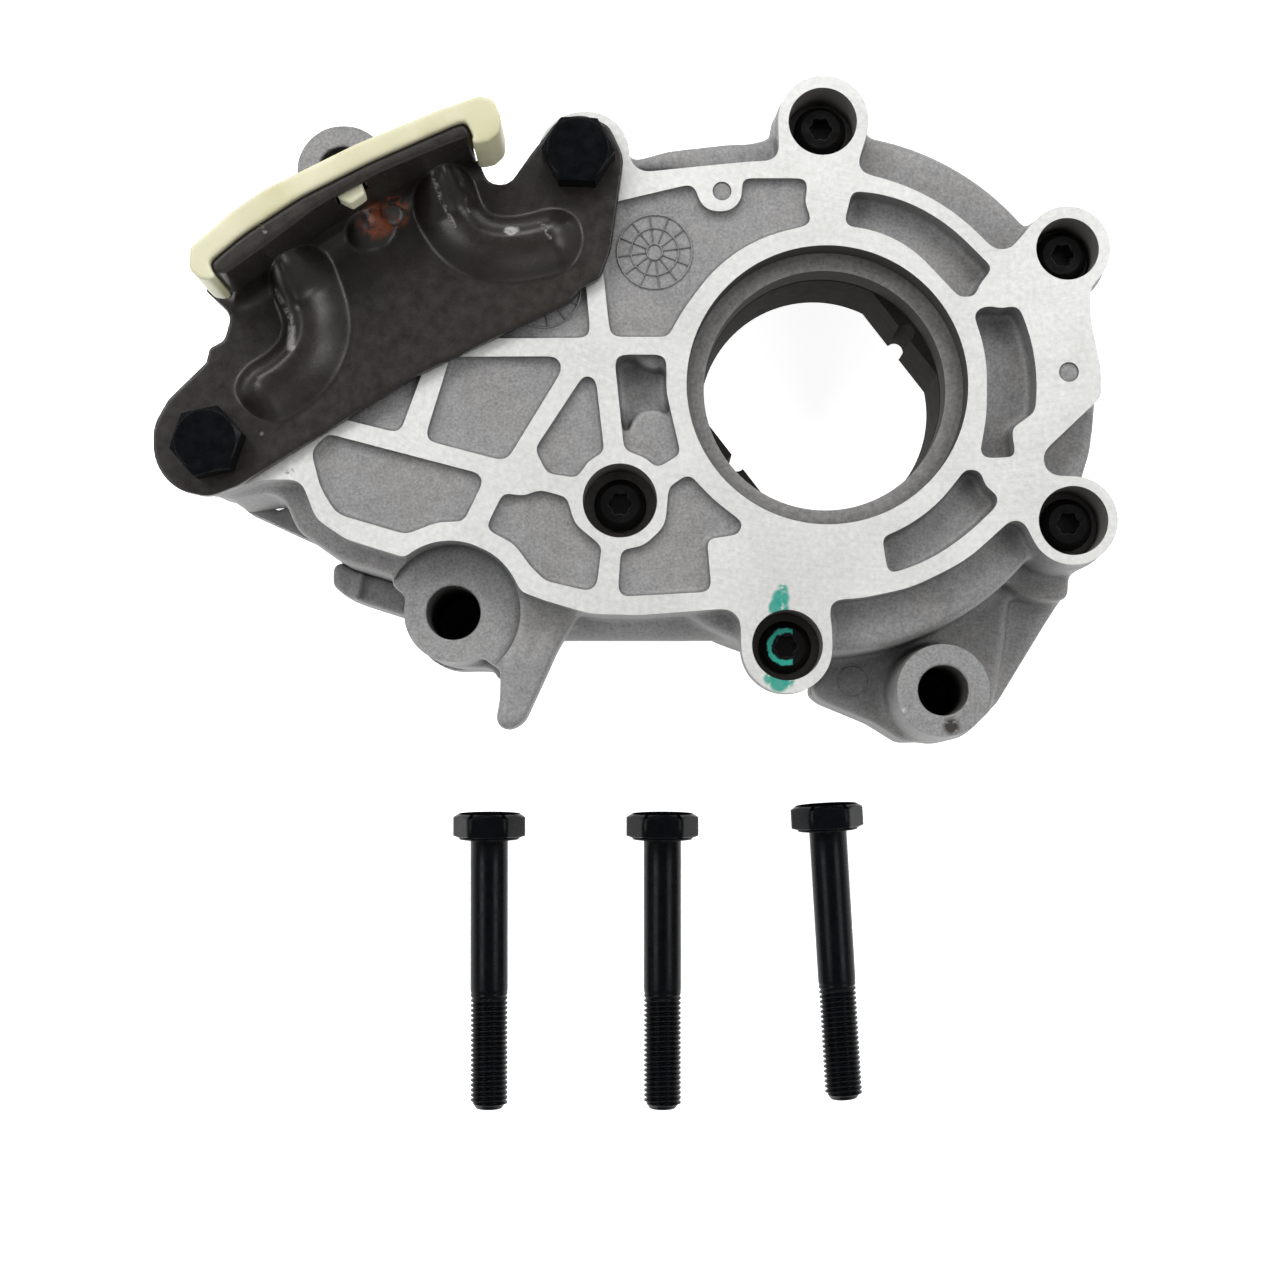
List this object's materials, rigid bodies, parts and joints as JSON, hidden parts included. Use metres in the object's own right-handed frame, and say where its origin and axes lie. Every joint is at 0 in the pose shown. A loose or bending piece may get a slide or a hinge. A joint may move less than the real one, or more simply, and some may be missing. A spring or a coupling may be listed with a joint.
{
  "type": "engine oil pump",
  "caption": "Crank-driven gerotor engine oil pump: cast aluminium housing with pocketed machined face, toothed rotors, relief valve, chain guide bracket with nylon shoe, loose mounting bolts.",
  "frame": {"origin": "crankshaft axis at the rear mounting face", "axes": "+Z along the crankshaft axis, out of the machined front face; +Y towards the upper mounting lug and the chain guide; the pump lies on its rear face, z = 0"},
  "size_m": [0.1823, 0.2009, 0.0642],
  "materials": {
    "cast_aluminium": "as-cast matte with machined faces",
    "cover_aluminium": "as-cast matte with machined faces",
    "sintered_steel": "satin",
    "bracket_steel": "phosphated, satin, scuffed",
    "black_steel": "black oxide",
    "zinc_steel": "bright",
    "spring_steel": "bright",
    "copper": "matte",
    "seal_rubber": "matte",
    "nylon": "waxy, slightly translucent"
  },
  "bodies": {
    "pump_body": {"front_housing": "cast_aluminium", "rear_cover": "cover_aluminium", "cover_screws": "black_steel", "cover_dowels": "zinc_steel", "inlet_seal": "seal_rubber", "outlet_seal": "seal_rubber", "gallery_balls": "zinc_steel", "inlet_strainer": "zinc_steel", "relief_spring": "spring_steel", "relief_washer": "copper", "relief_plug": "black_steel", "guide_bracket": "bracket_steel", "guide_shoe": "nylon", "guide_bolts": "black_steel", "guide_rivet": "bracket_steel"},
    "inner_gear": {"inner_rotor": "sintered_steel"},
    "outer_gear": {"outer_rotor": "sintered_steel"},
    "relief_valve": {"relief_piston": "zinc_steel"},
    "loose_bolt_a": {"mounting_bolt_a": "black_steel"},
    "loose_bolt_b": {"mounting_bolt_b": "black_steel"},
    "loose_bolt_c": {"mounting_bolt_c": "black_steel"}
  },
  "joints": [
    {"name": "inner_rotor_spin", "type": "hinge", "parent": "pump_body", "child": "inner_gear", "pos_m": [0, 0, 0.016], "axis": [0, 0, 1], "continuous": true},
    {"name": "outer_rotor_spin", "type": "hinge", "parent": "pump_body", "child": "outer_gear", "pos_m": [0.00277, 0.0016, 0.016], "axis": [0, 0, 1], "continuous": true},
    {"name": "relief_piston_slide", "type": "slide", "parent": "pump_body", "child": "relief_valve", "axis": [-1, 0, 0], "range_m": [0, 0.004], "stiffness_N_per_m": 5000, "springref_m": -0.003, "deforming": ["relief_spring"]},
    {"name": "bolt_a_lift", "type": "slide", "parent": "pump_body", "child": "loose_bolt_a", "axis": [0, 0, 1], "range_m": [0, 0.08]},
    {"name": "bolt_b_lift", "type": "slide", "parent": "pump_body", "child": "loose_bolt_b", "axis": [0, 0, 1], "range_m": [0, 0.08]},
    {"name": "bolt_c_lift", "type": "slide", "parent": "pump_body", "child": "loose_bolt_c", "axis": [0, 0, 1], "range_m": [0, 0.08]}
  ],
  "couplings": [
    {"joint": "outer_rotor_spin", "follows": "inner_rotor_spin", "ratio": 0.9}
  ]
}
